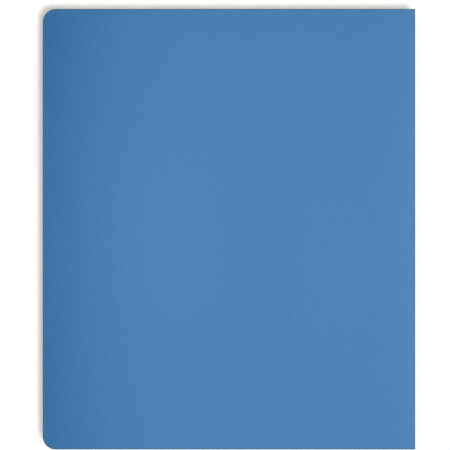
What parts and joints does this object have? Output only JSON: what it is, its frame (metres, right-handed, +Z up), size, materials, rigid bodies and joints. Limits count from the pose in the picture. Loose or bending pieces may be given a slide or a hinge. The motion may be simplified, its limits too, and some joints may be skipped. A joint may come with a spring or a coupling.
{
  "type": "alphabetic desk file",
  "caption": "Flat desk file with two pressboard covers, tabbed alphabetic dividers on a pleated paper spine and a peep hole in every divider.",
  "frame": {"origin": "on the desk, under the middle of the back cover, with the file closed and lying on its front cover", "axes": "+Z up out of the back cover, +X towards the pleated spine, +Y along the spine towards the head (the end with the A tab)"},
  "size_m": [0.257, 0.304, 0.0184],
  "materials": {
    "pressboard": "blue coated pressboard, satin, fine fibre grain",
    "spine_paper": "strong dark blue paper, matt",
    "index_card": "manila card, matt, faint flecks",
    "tab_film": "clear film wrapped over a tab, glossy",
    "index_ink": "dark blue printing ink on the tabs"
  },
  "bodies": {
    "leaf_a": {"divider_a": "index_card", "pleat_a": "spine_paper"},
    "leaf_b": {"divider_b": "index_card", "pleat_b": "spine_paper"},
    "leaf_c": {"divider_c": "index_card", "pleat_c": "spine_paper"},
    "leaf_d": {"divider_d": "index_card", "pleat_d": "spine_paper"},
    "leaf_e": {"divider_e": "index_card", "pleat_e": "spine_paper"},
    "leaf_f": {"divider_f": "index_card", "pleat_f": "spine_paper"},
    "leaf_g": {"divider_g": "index_card", "pleat_g": "spine_paper"},
    "leaf_h": {"divider_h": "index_card", "pleat_h": "spine_paper"},
    "leaf_i_j": {"divider_i_j": "index_card", "pleat_i_j": "spine_paper"},
    "leaf_k": {"divider_k": "index_card", "pleat_k": "spine_paper"},
    "leaf_l": {"divider_l": "index_card", "pleat_l": "spine_paper"},
    "leaf_m": {"divider_m": "index_card", "pleat_m": "spine_paper"},
    "leaf_n": {"divider_n": "index_card", "pleat_n": "spine_paper"},
    "leaf_o": {"divider_o": "index_card", "pleat_o": "spine_paper"},
    "leaf_p_q": {"divider_p_q": "index_card", "pleat_p_q": "spine_paper"},
    "leaf_r": {"divider_r": "index_card", "pleat_r": "spine_paper"},
    "leaf_s": {"divider_s": "index_card", "pleat_s": "spine_paper"},
    "leaf_t": {"divider_t": "index_card", "pleat_t": "spine_paper"},
    "leaf_u_v": {"divider_u_v": "index_card", "pleat_u_v": "spine_paper"},
    "leaf_w_z": {"divider_w_z": "index_card", "pleat_w_z": "spine_paper"},
    "front": {"front_cover": "pressboard", "front_spine_strip": "spine_paper"},
    "back": {"back_cover": "pressboard", "back_spine_strip": "spine_paper"}
  },
  "joints": [
    {"name": "front_cover_fold", "type": "hinge", "parent": "leaf_a", "child": "front", "pos_m": [0.12865, 0, 0.0012], "axis": [0, -1, 0], "range_deg": [0, 180]},
    {"name": "pocket_a_fold", "type": "hinge", "parent": "leaf_a", "child": "leaf_b", "pos_m": [0.12865, 0, 0.002], "axis": [0, -1, 0], "range_deg": [-9.47, 0]},
    {"name": "pocket_b_fold", "type": "hinge", "parent": "leaf_b", "child": "leaf_c", "pos_m": [0.12865, 0, 0.0028], "axis": [0, -1, 0], "range_deg": [-9.47, 0]},
    {"name": "pocket_c_fold", "type": "hinge", "parent": "leaf_c", "child": "leaf_d", "pos_m": [0.12865, 0, 0.0036], "axis": [0, -1, 0], "range_deg": [-9.47, 0]},
    {"name": "pocket_d_fold", "type": "hinge", "parent": "leaf_d", "child": "leaf_e", "pos_m": [0.12865, 0, 0.0044], "axis": [0, -1, 0], "range_deg": [-9.47, 0]},
    {"name": "pocket_e_fold", "type": "hinge", "parent": "leaf_e", "child": "leaf_f", "pos_m": [0.12865, 0, 0.0052], "axis": [0, -1, 0], "range_deg": [-9.47, 0]},
    {"name": "pocket_f_fold", "type": "hinge", "parent": "leaf_f", "child": "leaf_g", "pos_m": [0.12865, 0, 0.006], "axis": [0, -1, 0], "range_deg": [-9.47, 0]},
    {"name": "pocket_g_fold", "type": "hinge", "parent": "leaf_g", "child": "leaf_h", "pos_m": [0.12865, 0, 0.0068], "axis": [0, -1, 0], "range_deg": [-9.47, 0]},
    {"name": "pocket_h_fold", "type": "hinge", "parent": "leaf_h", "child": "leaf_i_j", "pos_m": [0.12865, 0, 0.0076], "axis": [0, -1, 0], "range_deg": [-9.47, 0]},
    {"name": "pocket_i_j_fold", "type": "hinge", "parent": "leaf_i_j", "child": "leaf_k", "pos_m": [0.12865, 0, 0.0084], "axis": [0, -1, 0], "range_deg": [-9.47, 0]},
    {"name": "pocket_k_fold", "type": "hinge", "parent": "leaf_k", "child": "leaf_l", "pos_m": [0.12865, 0, 0.0092], "axis": [0, -1, 0], "range_deg": [-9.47, 0]},
    {"name": "pocket_l_fold", "type": "hinge", "parent": "leaf_l", "child": "leaf_m", "pos_m": [0.12865, 0, 0.01], "axis": [0, -1, 0], "range_deg": [-9.47, 0]},
    {"name": "pocket_m_fold", "type": "hinge", "parent": "leaf_m", "child": "leaf_n", "pos_m": [0.12865, 0, 0.0108], "axis": [0, -1, 0], "range_deg": [-9.47, 0]},
    {"name": "pocket_n_fold", "type": "hinge", "parent": "leaf_n", "child": "leaf_o", "pos_m": [0.12865, 0, 0.0116], "axis": [0, -1, 0], "range_deg": [-9.47, 0]},
    {"name": "pocket_o_fold", "type": "hinge", "parent": "leaf_o", "child": "leaf_p_q", "pos_m": [0.12865, 0, 0.0124], "axis": [0, -1, 0], "range_deg": [-9.47, 0]},
    {"name": "pocket_p_q_fold", "type": "hinge", "parent": "leaf_p_q", "child": "leaf_r", "pos_m": [0.12865, 0, 0.0132], "axis": [0, -1, 0], "range_deg": [-9.47, 0]},
    {"name": "pocket_r_fold", "type": "hinge", "parent": "leaf_r", "child": "leaf_s", "pos_m": [0.12865, 0, 0.014], "axis": [0, -1, 0], "range_deg": [-9.47, 0]},
    {"name": "pocket_s_fold", "type": "hinge", "parent": "leaf_s", "child": "leaf_t", "pos_m": [0.12865, 0, 0.0148], "axis": [0, -1, 0], "range_deg": [-9.47, 0]},
    {"name": "pocket_t_fold", "type": "hinge", "parent": "leaf_t", "child": "leaf_u_v", "pos_m": [0.12865, 0, 0.0156], "axis": [0, -1, 0], "range_deg": [-9.47, 0]},
    {"name": "pocket_u_v_fold", "type": "hinge", "parent": "leaf_u_v", "child": "leaf_w_z", "pos_m": [0.12865, 0, 0.0164], "axis": [0, -1, 0], "range_deg": [-9.47, 0]},
    {"name": "back_cover_fold", "type": "hinge", "parent": "leaf_w_z", "child": "back", "pos_m": [0.12865, 0, 0.0172], "axis": [0, 1, 0], "range_deg": [0, 180]}
  ]
}
